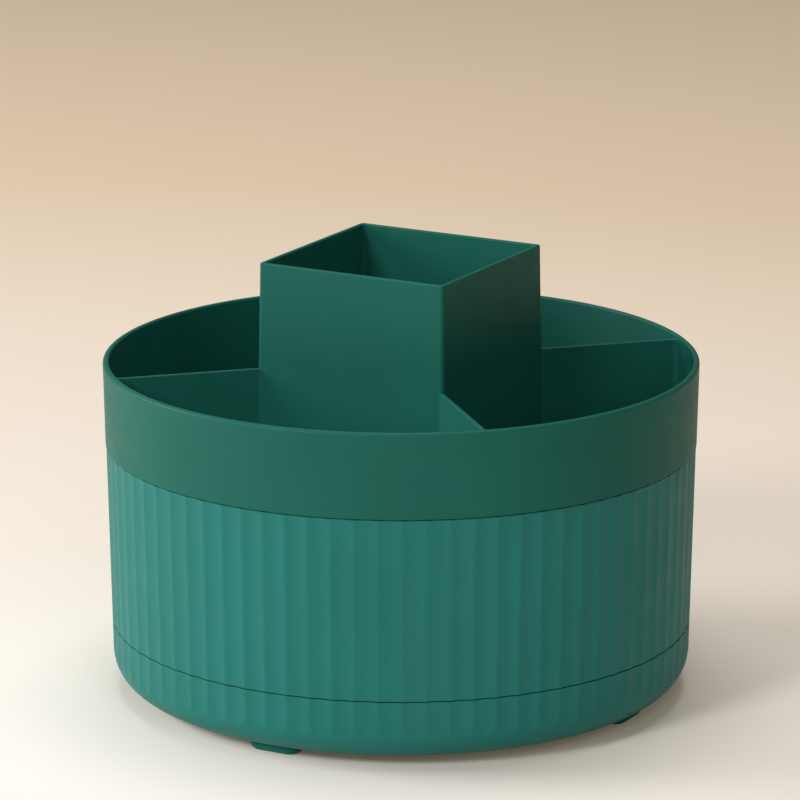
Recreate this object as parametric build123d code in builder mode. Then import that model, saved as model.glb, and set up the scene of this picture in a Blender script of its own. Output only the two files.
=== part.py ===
# Rotating makeup organizer: a divided tray with a square brush tower lifts out of a fluted shell,
# and the shell turns on a ball bearing over a footed base dish. Millimetres, +Z up, origin on the
# table under the middle of the turntable, tower faces square to X and Y.
from build123d import *
from math import cos, radians, sin, sqrt, tan
import os

# Outside form
RIM_RADIUS = 105.0
WALL_DRAFT = 1.2  # degrees the outside leans in towards the table
FOOT_HEIGHT = 3.0
BASE_HEIGHT = 22.0  # underside of the base up to the turning seam
BASE_ROUND = 12.0
TURN_GAP = 0.35  # turning seam between base and shell
SHELL_HEIGHT = 64.4
BAND_HEIGHT = 30.0  # smooth outside of the tray
BAND_STEP = 0.4  # how far the band stands out over the flutes
NECK_HEIGHT = 0.5  # shadow groove under the band
NECK_DEPTH = 0.5
WALL = 2.2
FLOOR = 2.4
FLUTE_COUNT = 80
FLUTE_DEPTH = 0.3
RIDGE_TRIM = 0.05  # taken off the plain base wall by the flutes' ridges

# Tray
TRAY_DEPTH = 60.0  # rim down to the compartment floor
TRAY_PLAY = 0.4  # between the tray and the shell round it
TRAY_ROUND = 6.0
RIM_OUTER_ROUND_SHARE = 0.55
RIM_INNER_ROUND_SHARE = 0.35
DIVIDER = 1.4  # thickness at the top edge
DIVIDER_DRAFT = 0.3  # degrees
DIVIDER_DROP = 0.8  # top edge below the rim
DIVIDER_ROUND_SHARE = 0.3
SQUARE_SIDES = 4  # sides of the tower, with a compartment on each and a divider at each corner
POCKET_CORNER = 2.0
POCKET_ROUND = 1.6  # round the compartment floors
LEDGE_ROUND = 1.0
TOWER_SIDE = 72.7  # outside of the square at its top
TOWER_RISE = 37.0  # tower above the rim
TOWER_WALL = 1.6
TOWER_DRAFT = 0.8  # degrees the outside widens downwards
TOWER_BORE_DRAFT = 0.3  # degrees the inside narrows downwards
TOWER_CORNER = 1.2
TOWER_BORE_CORNER = 1.2
TOWER_FLOOR_ROUND = 1.0
TOWER_ROUND_SHARE = 0.35

# Turntable plate
PLATE = 2.4
LEDGE = 14.0  # width of the shell's ledge over the plate
LEDGE_THICKNESS = 2.4
SKIRT = 1.8
SKIRT_DROP = 4.0
SKIRT_GAP = 1.0
RIB = 2.0

# Ball bearing
BALL_RADIUS = 3.0
BALL_COUNT = 12
BALL_CIRCLE = 56.0
BALL_PLAY = 0.05
GROOVE_DEPTH = 1.2
RACE_WIDTH = 12.0
RACE_THICKNESS = 4.0
CAGE_WIDTH = 10.0
CAGE_GAP = 0.6  # cage to each race
POCKET_PLAY = 0.15
EAR_COUNT = 4
EAR_RADIUS = 6.0
EAR_REACH = 5.0  # screw inside the edge of the race

# Pivot
SPINDLE_RADIUS = 3.0
SPINDLE_HEAD_RADIUS = 6.0
SPINDLE_HEAD = 3.0
SPINDLE_SINK = 0.4  # head above the underside of the base
SPINDLE_STAND = 1.0  # end above the nut
HUB_RADIUS = 12.0
HUB_GAP = 0.6  # base hub to the well above it
RUN_PLAY = 0.05
THRUST_PLAY = 0.1
BUSH_WALL = 2.0
BUSH_FLANGE = 1.5
BUSH_FLANGE_RADIUS = 8.0
WASHER = 1.0
NUT = 5.0
NUT_FLATS = 10.0
WELL_RADIUS = 13.0
CAP = 2.0
CAP_SEAT = 2.0
CAP_GAP = 0.8  # cap to the end of the spindle
CAP_PLUG = 3.0
CAP_PLUG_WALL = 1.6

# Screws and feet
SCREW_RADIUS = 1.5
SCREW_HEAD_RADIUS = 2.9
SCREW_BOSS = 4.0
SCREW_BOSS_HEIGHT = 5.0
SCREW_COVER = 1.0  # material left past the screw's end
PLATE_SCREW_COUNT = 6
FOOT_ANGLES = {"foot_right": 0, "foot_back": 90, "foot_left": 180, "foot_front": 270}
FOOT_LENGTH = 19.0
FOOT_WIDTH = 9.0
FOOT_INSET = 2.2  # foot centre inside the edge of the flat underside
FOOT_SEAT = 1.0  # how deep the foot sits in the base
FOOT_ROUND = 1.5
FOOT_NECK_RADIUS = 2.0
FOOT_BARB_RADIUS = 2.8
FOOT_BARB = 2.0
FIT = 0.1  # play between pieces that stay together
OVERRUN = 1.0  # how far a cut reaches past the surface

# Heights
BASE_Z = FOOT_HEIGHT
BASE_FLOOR_Z = BASE_Z + FLOOR
SEAM_Z = BASE_Z + BASE_HEIGHT
SHELL_Z = SEAM_Z + TURN_GAP
PLATE_TOP_Z = SHELL_Z + PLATE
LEDGE_TOP_Z = PLATE_TOP_Z + LEDGE_THICKNESS
BAND_Z = SHELL_Z + SHELL_HEIGHT
RIM_Z = BAND_Z + BAND_HEIGHT
TOWER_Z = RIM_Z + TOWER_RISE
TRAY_FLOOR_Z = RIM_Z - TRAY_DEPTH
TRAY_Z = TRAY_FLOOR_Z - FLOOR
DIVIDER_Z = RIM_Z - DIVIDER_DROP
LEDGE_Z = BAND_Z + WALL  # inside the tray, where the band's wall stands on the cup's

# Bearing stack, halfway between the base floor and the plate
BALL_Z = (BASE_FLOOR_Z + SHELL_Z) / 2
RACE_GAP = 2 * (BALL_RADIUS - GROOVE_DEPTH)
LOWER_RACE_TOP_Z = BALL_Z - RACE_GAP / 2
LOWER_RACE_Z = LOWER_RACE_TOP_Z - RACE_THICKNESS
UPPER_RACE_Z = BALL_Z + RACE_GAP / 2
UPPER_RACE_TOP_Z = UPPER_RACE_Z + RACE_THICKNESS
EAR_ANGLE = 180 / EAR_COUNT
EAR_CIRCLE = BALL_CIRCLE - RACE_WIDTH / 2 - EAR_REACH
RIB_CIRCLES = (BALL_CIRCLE - (RACE_WIDTH - RIB) / 2, BALL_CIRCLE + (RACE_WIDTH - RIB) / 2)

# Pivot stack, down from the flush cap
CAP_Z = PLATE_TOP_Z - CAP
SPINDLE_TOP_Z = CAP_Z - CAP_GAP
NUT_Z = SPINDLE_TOP_Z - SPINDLE_STAND - NUT
WASHER_Z = NUT_Z - WASHER
BUSH_TOP_Z = WASHER_Z - THRUST_PLAY
WELL_FLOOR_Z = BUSH_TOP_Z - BUSH_FLANGE
WELL_Z = WELL_FLOOR_Z - FLOOR
HUB_TOP_Z = WELL_Z - HUB_GAP
SPINDLE_Z = BASE_Z + SPINDLE_SINK
SHOULDER_Z = SPINDLE_Z + SPINDLE_HEAD
BUSH_BORE = SPINDLE_RADIUS + RUN_PLAY
BUSH_RADIUS = BUSH_BORE + BUSH_WALL
CAP_RADIUS = WELL_RADIUS + CAP_SEAT
WELL_OUTER_RADIUS = CAP_RADIUS + FLOOR

# Screw lengths, face of the head to the end
LOWER_SCREW = LOWER_RACE_TOP_Z - BASE_Z - SCREW_COVER
UPPER_SCREW = PLATE_TOP_Z - UPPER_RACE_Z - SCREW_COVER
PLATE_SCREW = PLATE + LEDGE_THICKNESS + SCREW_BOSS_HEIGHT - SCREW_COVER

UPRIGHT = (Align.CENTER, Align.CENTER, Align.MIN)


def band_radius(z):
    return RIM_RADIUS - (RIM_Z - z) * tan(radians(WALL_DRAFT))


def body_radius(z):
    return band_radius(z) - BAND_STEP


def body_bore(z):
    return body_radius(z) - WALL


def tray_radius(z):
    return body_bore(z) - TRAY_PLAY


def tray_bore(z):
    return tray_radius(z) - WALL


def band_bore(z):
    return band_radius(z) - WALL


def tower_half(z):
    return TOWER_SIDE / 2 + (TOWER_Z - z) * tan(radians(TOWER_DRAFT))


def divider_half(z):
    return DIVIDER / 2 + (DIVIDER_Z - z) * tan(radians(DIVIDER_DRAFT))


FOOT_CIRCLE = body_radius(BASE_Z) - BASE_ROUND - FOOT_INSET
PLATE_RADIUS = body_bore(SHELL_Z) - FIT
PLATE_SCREW_CIRCLE = body_bore(SHELL_Z) - LEDGE / 2
SKIRT_RADIUS = body_bore(SHELL_Z - SKIRT_DROP) - SKIRT_GAP


def polar(radius, angle):
    return (radius * cos(radians(angle)), radius * sin(radians(angle)))


def foot_plane(angle):
    # On the table under a foot, with the foot's length along the local X axis.
    return Plane(origin=(*polar(FOOT_CIRCLE, angle), 0), x_dir=(*polar(1, angle + 90), 0))


def nearest(sketch, point):
    return sketch.vertices().sort_by_distance(point)[0]


def ring_section(inner, outer, low, high, mode=Mode.ADD):
    # Half-section of a turned ring, drawn into the sketch at hand.
    with Locations(((inner + outer) / 2, (low + high) / 2)):
        Rectangle(outer - inner, high - low, mode=mode)


def fluted_outline(z):
    # Ring of shallow scallops, one of them centred on the X axis.
    pitch = 360 / FLUTE_COUNT
    ridge = body_radius(z)
    with BuildSketch(Plane.XY.offset(z)) as outline:
        with BuildLine():
            for flute in range(FLUTE_COUNT):
                middle = flute * pitch
                ThreePointArc(
                    polar(ridge, middle - pitch / 2),
                    polar(ridge - FLUTE_DEPTH, middle),
                    polar(ridge, middle + pitch / 2),
                )
        make_face()
    return outline.sketch


def fluted_block(low, high):
    with BuildPart() as block:
        add(fluted_outline(low))
        add(fluted_outline(high))
        loft(ruled=True)
    return block.part


def square_block(low, high, top_side, corner, draft):
    # Square column with rounded corners, wider towards the bottom by the draft in degrees.
    side = top_side + 2 * (high - low) * tan(radians(draft))
    with BuildPart() as block:
        with BuildSketch(Plane.XY.offset(low)):
            RectangleRounded(side, side, corner)
        with BuildSketch(Plane.XY.offset(high)):
            RectangleRounded(top_side, top_side, corner)
        loft(ruled=True)
    return block.part


def compartment_outline(z, bore):
    # Space on the +X side between two dividers on the diagonals, the tower and a round wall.
    side = tower_half(z)
    half = divider_half(z)
    reach = sqrt(bore**2 - half**2)
    inner = (side, side - half * sqrt(2))
    outer = ((reach + half) / sqrt(2), (reach - half) / sqrt(2))
    with BuildSketch(Plane.XY.offset(z)) as outline:
        with BuildLine():
            Polyline((outer[0], -outer[1]), (inner[0], -inner[1]), inner, outer)
            ThreePointArc(outer, (bore, 0), (outer[0], -outer[1]))
        make_face()
        fillet(outline.vertices(), POCKET_CORNER)
    return outline.sketch


def compartment(low, bore, floor_round):
    # Moulded space from a height up to the tops of the dividers.
    high = DIVIDER_Z + OVERRUN
    with BuildPart() as space:
        add(compartment_outline(low, bore(low)))
        add(compartment_outline(high, bore(high)))
        loft(ruled=True)
        fillet(space.faces().sort_by(Axis.Z)[0].edges(), floor_round)
    return space.part


def divider_top():
    # Upright section of a divider's top, in its own plane.
    depth = DIVIDER_Z - OVERRUN
    with BuildSketch() as section:
        with BuildLine():
            Polyline(
                (-divider_half(depth), depth),
                (divider_half(depth), depth),
                (divider_half(DIVIDER_Z), DIVIDER_Z),
                (-divider_half(DIVIDER_Z), DIVIDER_Z),
                close=True,
            )
        make_face()
        fillet(section.vertices().group_by(Axis.Y)[-1], DIVIDER * DIVIDER_ROUND_SHARE)
    return section.sketch_local


def bearing_race(low, face, tilt):
    # Ring with screw ears inside it. The groove and the screw heads are on the face towards the balls.
    with BuildPart() as race:
        with BuildSketch(Plane.XY.offset(low)):
            Circle(BALL_CIRCLE + RACE_WIDTH / 2)
            Circle(BALL_CIRCLE - RACE_WIDTH / 2, mode=Mode.SUBTRACT)
            with PolarLocations(EAR_CIRCLE, EAR_COUNT, start_angle=EAR_ANGLE):
                Circle(EAR_RADIUS)
                Rectangle(EAR_REACH + RACE_WIDTH / 2, 2 * EAR_RADIUS, align=(Align.MIN, Align.CENTER))
        extrude(amount=RACE_THICKNESS)
        with Locations((0, 0, BALL_Z)):
            Torus(BALL_CIRCLE, BALL_RADIUS + BALL_PLAY, mode=Mode.SUBTRACT)
        with Locations(Location((0, 0, face), (tilt, 0, 0))):
            with PolarLocations(EAR_CIRCLE, EAR_COUNT, start_angle=EAR_ANGLE):
                CounterSinkHole(SCREW_RADIUS + FIT, SCREW_HEAD_RADIUS + FIT, counter_sink_angle=90)
    return race.part


def countersunk_screws(face, tilt, circle, count, start, length):
    # Ring of screws with their heads level with the face, pointing down at no tilt.
    head = SCREW_HEAD_RADIUS - SCREW_RADIUS
    with BuildPart() as screws:
        with Locations(Location((0, 0, face), (tilt, 0, 0))):
            with PolarLocations(circle, count, start_angle=start):
                with Locations((0, 0, -head)):
                    Cone(SCREW_RADIUS, SCREW_HEAD_RADIUS, head, align=UPRIGHT)
                with Locations((0, 0, -length)):
                    Cylinder(SCREW_RADIUS, length - head, align=UPRIGHT)
    return screws.part


# Base dish: fluted wall that runs out on the rounded bottom, ribs under the bearing, hub for the spindle
base_flutes = fluted_block(BASE_Z - OVERRUN, SEAM_Z + OVERRUN)
with BuildPart() as base_dish:
    with BuildSketch(Plane.XZ) as dish_section:
        with BuildLine():
            Polyline(
                (0, BASE_Z),
                (body_radius(BASE_Z) + RIDGE_TRIM, BASE_Z),
                (body_radius(SEAM_Z) + RIDGE_TRIM, SEAM_Z),
                (body_bore(SEAM_Z), SEAM_Z),
                (body_bore(BASE_FLOOR_Z), BASE_FLOOR_Z),
                (0, BASE_FLOOR_Z),
                close=True,
            )
        make_face()
        fillet(nearest(dish_section, (body_radius(BASE_Z), BASE_Z)), BASE_ROUND)
        fillet(nearest(dish_section, (body_bore(BASE_FLOOR_Z), BASE_FLOOR_Z)), BASE_ROUND - WALL)
    revolve(axis=Axis.Z)
    add(base_flutes, mode=Mode.INTERSECT)
    with BuildSketch(Plane.XZ):
        for circle in RIB_CIRCLES:
            ring_section(circle - RIB / 2, circle + RIB / 2, BASE_FLOOR_Z - FLOOR / 2, LOWER_RACE_Z)
        ring_section(0, HUB_RADIUS, BASE_FLOOR_Z - FLOOR / 2, HUB_TOP_Z)
    revolve(axis=Axis.Z)
    with Locations((0, 0, BASE_FLOOR_Z - FLOOR / 2)):
        with PolarLocations(EAR_CIRCLE, EAR_COUNT, start_angle=EAR_ANGLE):
            Cylinder(SCREW_BOSS, LOWER_RACE_Z - BASE_FLOOR_Z + FLOOR / 2, align=UPRIGHT)
    with Locations((0, 0, LOWER_RACE_TOP_Z - LOWER_SCREW - FIT)):
        with PolarLocations(EAR_CIRCLE, EAR_COUNT, start_angle=EAR_ANGLE):
            Cylinder(SCREW_RADIUS + FIT, LOWER_SCREW, align=UPRIGHT, mode=Mode.SUBTRACT)
    with Locations((0, 0, BASE_Z - OVERRUN)):
        Cylinder(SPINDLE_RADIUS + FIT, HUB_TOP_Z - BASE_Z + 2 * OVERRUN, align=UPRIGHT, mode=Mode.SUBTRACT)
        Cylinder(SPINDLE_HEAD_RADIUS + FIT, SHOULDER_Z - BASE_Z + OVERRUN, align=UPRIGHT, mode=Mode.SUBTRACT)
        with PolarLocations(FOOT_CIRCLE, len(FOOT_ANGLES)):
            Cylinder(FOOT_NECK_RADIUS + FIT, FLOOR + 2 * OVERRUN, align=UPRIGHT, mode=Mode.SUBTRACT)
    for angle in FOOT_ANGLES.values():
        with BuildSketch(foot_plane(angle).offset(BASE_Z - OVERRUN)):
            SlotOverall(FOOT_LENGTH + 2 * FIT, FOOT_WIDTH + 2 * FIT)
        extrude(amount=OVERRUN + FOOT_SEAT, mode=Mode.SUBTRACT)

# Feet: oblong pads seated in the underside, each with a barbed neck through the base floor
feet = {}
for name, angle in FOOT_ANGLES.items():
    with BuildPart() as foot:
        with BuildSketch(foot_plane(angle)):
            SlotOverall(FOOT_LENGTH, FOOT_WIDTH)
        extrude(amount=FOOT_HEIGHT + FOOT_SEAT)
        fillet(foot.edges().group_by(Axis.Z)[0], FOOT_ROUND)
        with Locations(foot_plane(angle).offset(FOOT_HEIGHT + FOOT_SEAT)):
            Cylinder(FOOT_NECK_RADIUS, FLOOR - FOOT_SEAT + FIT, align=UPRIGHT)
        with Locations(foot_plane(angle).offset(FOOT_HEIGHT + FLOOR + FIT)):
            Cone(FOOT_BARB_RADIUS, FOOT_NECK_RADIUS, FOOT_BARB, align=UPRIGHT)
    feet[name] = foot.part

# Ball bearing: balls in a pierced ring between two grooved races
lower_race = bearing_race(LOWER_RACE_Z, LOWER_RACE_TOP_Z, 0)
upper_race = bearing_race(UPPER_RACE_Z, UPPER_RACE_Z, 180)

with BuildPart() as bearing_balls:
    with Locations((0, 0, BALL_Z)):
        with PolarLocations(BALL_CIRCLE, BALL_COUNT):
            Sphere(BALL_RADIUS)

with BuildPart() as ball_cage:
    with BuildSketch(Plane.XY.offset(LOWER_RACE_TOP_Z + CAGE_GAP)):
        Circle(BALL_CIRCLE + CAGE_WIDTH / 2)
        Circle(BALL_CIRCLE - CAGE_WIDTH / 2, mode=Mode.SUBTRACT)
        with PolarLocations(BALL_CIRCLE, BALL_COUNT):
            Circle(BALL_RADIUS + POCKET_PLAY, mode=Mode.SUBTRACT)
    extrude(amount=RACE_GAP - 2 * CAGE_GAP)

# Turntable plate: floor of the shell with a sunk well for the pivot, ribs over the bearing, dust skirt
with BuildPart() as turntable_plate:
    with BuildSketch(Plane.XZ):
        ring_section(0, PLATE_RADIUS, SHELL_Z, PLATE_TOP_Z)
        ring_section(0, WELL_OUTER_RADIUS, WELL_Z, SHELL_Z)
        ring_section(SKIRT_RADIUS - SKIRT, SKIRT_RADIUS, SHELL_Z - SKIRT_DROP, SHELL_Z)
        for circle in RIB_CIRCLES:
            ring_section(circle - RIB / 2, circle + RIB / 2, UPPER_RACE_TOP_Z, SHELL_Z)
        ring_section(0, WELL_RADIUS, WELL_FLOOR_Z, PLATE_TOP_Z, Mode.SUBTRACT)
        ring_section(0, CAP_RADIUS + FIT, CAP_Z, PLATE_TOP_Z, Mode.SUBTRACT)
        ring_section(0, BUSH_RADIUS + FIT, WELL_Z, WELL_FLOOR_Z, Mode.SUBTRACT)
    revolve(axis=Axis.Z)
    with Locations((0, 0, UPPER_RACE_TOP_Z)):
        with PolarLocations(EAR_CIRCLE, EAR_COUNT, start_angle=EAR_ANGLE):
            Cylinder(SCREW_BOSS, PLATE_TOP_Z - PLATE / 2 - UPPER_RACE_TOP_Z, align=UPRIGHT)
    with Locations((0, 0, UPPER_RACE_Z + FIT)):
        with PolarLocations(EAR_CIRCLE, EAR_COUNT, start_angle=EAR_ANGLE):
            Cylinder(SCREW_RADIUS + FIT, UPPER_SCREW, align=UPRIGHT, mode=Mode.SUBTRACT)
    with Locations(Location((0, 0, SHELL_Z), (180, 0, 0))):
        with PolarLocations(PLATE_SCREW_CIRCLE, PLATE_SCREW_COUNT):
            CounterSinkHole(SCREW_RADIUS + FIT, SCREW_HEAD_RADIUS + FIT, counter_sink_angle=90)

# Pivot: spindle up through the base, bush in the well, washer and nut under a flush cap
with BuildPart() as spindle:
    with BuildSketch(Plane.XZ):
        ring_section(0, SPINDLE_HEAD_RADIUS, SPINDLE_Z, SHOULDER_Z)
        ring_section(0, SPINDLE_RADIUS, SHOULDER_Z, SPINDLE_TOP_Z)
    revolve(axis=Axis.Z)

with BuildPart() as pivot_bush:
    with BuildSketch(Plane.XZ):
        ring_section(BUSH_BORE, BUSH_RADIUS, WELL_Z, WELL_FLOOR_Z)
        ring_section(BUSH_BORE, BUSH_FLANGE_RADIUS, WELL_FLOOR_Z, BUSH_TOP_Z)
    revolve(axis=Axis.Z)

with BuildPart() as thrust_washer:
    with BuildSketch(Plane.XZ):
        ring_section(SPINDLE_RADIUS + FIT, BUSH_FLANGE_RADIUS, WASHER_Z, NUT_Z)
    revolve(axis=Axis.Z)

with BuildPart() as lock_nut:
    with BuildSketch(Plane.XY.offset(NUT_Z)):
        RegularPolygon(NUT_FLATS / 2, 6, major_radius=False)
        Circle(SPINDLE_RADIUS + FIT, mode=Mode.SUBTRACT)
    extrude(amount=NUT)

with BuildPart() as hub_cap:
    with BuildSketch(Plane.XZ):
        ring_section(0, CAP_RADIUS, CAP_Z, PLATE_TOP_Z)
        ring_section(WELL_RADIUS - FIT - CAP_PLUG_WALL, WELL_RADIUS - FIT, CAP_Z - CAP_PLUG, CAP_Z)
    revolve(axis=Axis.Z)

# Fluted shell: ledge over the plate with screw bosses on it, shadow groove under the band
with BuildPart() as fluted_shell:
    add(fluted_block(SHELL_Z, BAND_Z))
    with BuildSketch(Plane.XZ):
        with BuildLine():
            Polyline(
                (0, SHELL_Z - OVERRUN),
                (body_bore(SHELL_Z), SHELL_Z - OVERRUN),
                (body_bore(SHELL_Z), PLATE_TOP_Z),
                (body_bore(SHELL_Z) - LEDGE, PLATE_TOP_Z),
                (body_bore(SHELL_Z) - LEDGE, LEDGE_TOP_Z),
                (body_bore(LEDGE_TOP_Z), LEDGE_TOP_Z),
                (body_bore(BAND_Z + OVERRUN), BAND_Z + OVERRUN),
                (0, BAND_Z + OVERRUN),
                close=True,
            )
        make_face()
    revolve(axis=Axis.Z, mode=Mode.SUBTRACT)
    with BuildSketch(Plane.XZ):
        ring_section(
            body_radius(BAND_Z) - NECK_DEPTH,
            RIM_RADIUS + OVERRUN,
            BAND_Z - NECK_HEIGHT,
            BAND_Z + OVERRUN,
        )
    revolve(axis=Axis.Z, mode=Mode.SUBTRACT)
    with Locations((0, 0, LEDGE_TOP_Z - LEDGE_THICKNESS / 2)):
        with PolarLocations(PLATE_SCREW_CIRCLE, PLATE_SCREW_COUNT):
            Cylinder(SCREW_BOSS, SCREW_BOSS_HEIGHT + LEDGE_THICKNESS / 2, align=UPRIGHT)
    with Locations((0, 0, SHELL_Z + FIT)):
        with PolarLocations(PLATE_SCREW_CIRCLE, PLATE_SCREW_COUNT):
            Cylinder(SCREW_RADIUS + FIT, PLATE_SCREW, align=UPRIGHT, mode=Mode.SUBTRACT)

# Tray: solid cup with the smooth band outside and a square tower, then the compartments and the tower's
# bore are taken out, and the dividers that are left get rounded tops
with BuildPart() as divider_edges:
    divider_start = tower_half(DIVIDER_Z) * sqrt(2) + POCKET_CORNER
    divider_end = band_bore(DIVIDER_Z) - POCKET_CORNER
    for corner in range(SQUARE_SIDES):
        angle = (corner + 1 / 2) * 360 / SQUARE_SIDES
        across = Plane(
            origin=(*polar(divider_start, angle), 0),
            x_dir=(*polar(1, angle + 90), 0),
            z_dir=(*polar(1, angle), 0),
        )
        with BuildSketch(across):
            with Locations((0, DIVIDER_Z)):
                Rectangle(DIVIDER + 2 * OVERRUN, 2 * DIVIDER * DIVIDER_ROUND_SHARE)
            add(divider_top(), mode=Mode.SUBTRACT)
        extrude(amount=divider_end - divider_start)

with BuildPart() as tower_bore:
    add(
        square_block(
            TRAY_FLOOR_Z,
            TOWER_Z + OVERRUN,
            TOWER_SIDE - 2 * TOWER_WALL,
            TOWER_BORE_CORNER,
            -TOWER_BORE_DRAFT,
        )
    )
    fillet(tower_bore.faces().sort_by(Axis.Z)[0].edges(), TOWER_FLOOR_ROUND)

with BuildPart() as tray:
    with BuildSketch(Plane.XZ) as cup_section:
        with BuildLine():
            Polyline(
                (0, TRAY_Z),
                (tray_radius(TRAY_Z), TRAY_Z),
                (tray_radius(BAND_Z), BAND_Z),
                (band_radius(BAND_Z), BAND_Z),
                (RIM_RADIUS, RIM_Z),
                (band_bore(RIM_Z), RIM_Z),
                (band_bore(DIVIDER_Z), DIVIDER_Z),
                (0, DIVIDER_Z),
                close=True,
            )
        make_face()
        fillet(nearest(cup_section, (tray_radius(TRAY_Z), TRAY_Z)), TRAY_ROUND)
        fillet(nearest(cup_section, (RIM_RADIUS, RIM_Z)), WALL * RIM_OUTER_ROUND_SHARE)
        fillet(nearest(cup_section, (band_bore(RIM_Z), RIM_Z)), WALL * RIM_INNER_ROUND_SHARE)
    revolve(axis=Axis.Z)
    add(square_block(TRAY_FLOOR_Z - FLOOR / 2, TOWER_Z, TOWER_SIDE, TOWER_CORNER, TOWER_DRAFT))
    with PolarLocations(0, SQUARE_SIDES):
        add(compartment(TRAY_FLOOR_Z, tray_bore, POCKET_ROUND), mode=Mode.SUBTRACT)
        add(compartment(LEDGE_Z, band_bore, LEDGE_ROUND), mode=Mode.SUBTRACT)
    add(tower_bore.part, mode=Mode.SUBTRACT)
    add(divider_edges.part, mode=Mode.SUBTRACT)
    fillet(tray.edges().group_by(Axis.Z)[-1], TOWER_WALL * TOWER_ROUND_SHARE)

pieces = {
    "base_dish": base_dish.part,
    **feet,
    "lower_race": lower_race,
    "lower_race_screws": countersunk_screws(
        LOWER_RACE_TOP_Z, 0, EAR_CIRCLE, EAR_COUNT, EAR_ANGLE, LOWER_SCREW
    ),
    "spindle": spindle.part,
    "thrust_washer": thrust_washer.part,
    "lock_nut": lock_nut.part,
    "ball_cage": ball_cage.part,
    "bearing_balls": bearing_balls.part,
    "fluted_shell": fluted_shell.part,
    "turntable_plate": turntable_plate.part,
    "plate_screws": countersunk_screws(
        SHELL_Z, 180, PLATE_SCREW_CIRCLE, PLATE_SCREW_COUNT, 0, PLATE_SCREW
    ),
    "upper_race": upper_race,
    "upper_race_screws": countersunk_screws(
        UPPER_RACE_Z, 180, EAR_CIRCLE, EAR_COUNT, EAR_ANGLE, UPPER_SCREW
    ),
    "pivot_bush": pivot_bush.part,
    "hub_cap": hub_cap.part,
    "tray": tray.part,
}
os.makedirs("parts", exist_ok=True)
for name, piece in pieces.items():
    piece.label = name
    export_step(piece, f"parts/{name}.step")
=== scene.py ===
"""Looks of the rotating makeup organizer: satin green mouldings on a pale studio floor."""
import bmesh
import bpy
import math
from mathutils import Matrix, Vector


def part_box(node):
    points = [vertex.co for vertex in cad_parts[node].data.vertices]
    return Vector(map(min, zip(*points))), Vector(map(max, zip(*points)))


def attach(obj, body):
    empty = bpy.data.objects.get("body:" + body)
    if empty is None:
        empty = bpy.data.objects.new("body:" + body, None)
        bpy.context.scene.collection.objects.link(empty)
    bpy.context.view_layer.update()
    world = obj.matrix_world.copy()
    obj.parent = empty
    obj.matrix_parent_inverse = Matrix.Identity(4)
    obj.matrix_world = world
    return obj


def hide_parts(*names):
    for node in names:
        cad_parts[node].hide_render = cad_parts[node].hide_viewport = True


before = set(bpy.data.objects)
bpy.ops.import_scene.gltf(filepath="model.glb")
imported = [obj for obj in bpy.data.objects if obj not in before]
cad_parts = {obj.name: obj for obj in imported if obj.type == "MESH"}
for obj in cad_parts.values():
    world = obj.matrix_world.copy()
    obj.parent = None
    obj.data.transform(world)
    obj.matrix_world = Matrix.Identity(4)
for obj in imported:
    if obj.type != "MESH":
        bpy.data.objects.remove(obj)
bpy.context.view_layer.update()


def span(node):
    """Lowest and highest height of a CAD node."""
    low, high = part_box(node)
    return low[2], high[2]


# Outside form, in metres and radians
RIM_RADIUS = 0.105
WALL_DRAFT = math.radians(1.2)
BAND_HEIGHT = 0.030
BAND_STEP = 0.0002
WALL = 0.0022
FLOOR = 0.0024
SEAM_EDGE = 0.00015
NECK_HEIGHT = 0.0005
NECK_DEPTH = 0.0008
BASE_ROUND = 0.012
FLUTE_COUNT = 80
FLUTE_DEPTH = 0.0005
FLUTE_BLEND = 0.00003
FLUTE_STEPS = 10

# Tray
TRAY_PLAY = 0.0004
TRAY_ROUND = 0.006
RIM_OUTER_ROUND = 0.00121
RIM_INNER_ROUND = 0.00077
DIVIDER = 0.0014
DIVIDER_DRAFT = math.radians(0.3)
DIVIDER_DROP = 0.0008
DIVIDER_ROUND = 0.00042
POCKET_CORNER = 0.002
POCKET_ROUND = 0.0016
LEDGE_ROUND = 0.001
LEDGE_LIFT = 0.0003
TOWER_SIDE = 0.0727
TOWER_WALL = 0.0016
TOWER_DRAFT = math.radians(0.8)
TOWER_BORE_DRAFT = math.radians(0.3)
TOWER_CORNER = 0.0012
TOWER_FLOOR_ROUND = 0.001
TOWER_ROUND = 0.00056

# Inside of the shell and the base
LEDGE = 0.014
LEDGE_THICKNESS = 0.0024
LEDGE_EDGE = 0.0004
BOSS_RADIUS = 0.004
BOSS_HEIGHT = 0.005
BOSS_EDGE = 0.0004
SCREW_HOLE = 0.0016
SCREW_COVER = 0.001
SHELL_SCREWS = 6
RIB = 0.002
RACE_WIDTH = 0.012
HUB_RADIUS = 0.012
HUB_GAP = 0.0006
SPINDLE_HOLE = 0.0031
SPINDLE_HEAD_HOLE = 0.0061
SPINDLE_HEAD = 0.003
EAR_CIRCLE = 0.045
BASE_SCREWS = 4

# Feet
FOOT_QUARTERS = {"right": 0, "back": 1, "left": 2, "front": 3}
FOOT_LENGTH = 0.019
FOOT_WIDTH = 0.009
FOOT_SEAT = 0.001
FOOT_ROUND = 0.0015
FOOT_EDGE = 0.0003
FOOT_NECK = 0.002
FOOT_BARB = 0.0028
FIT = 0.0001

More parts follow.
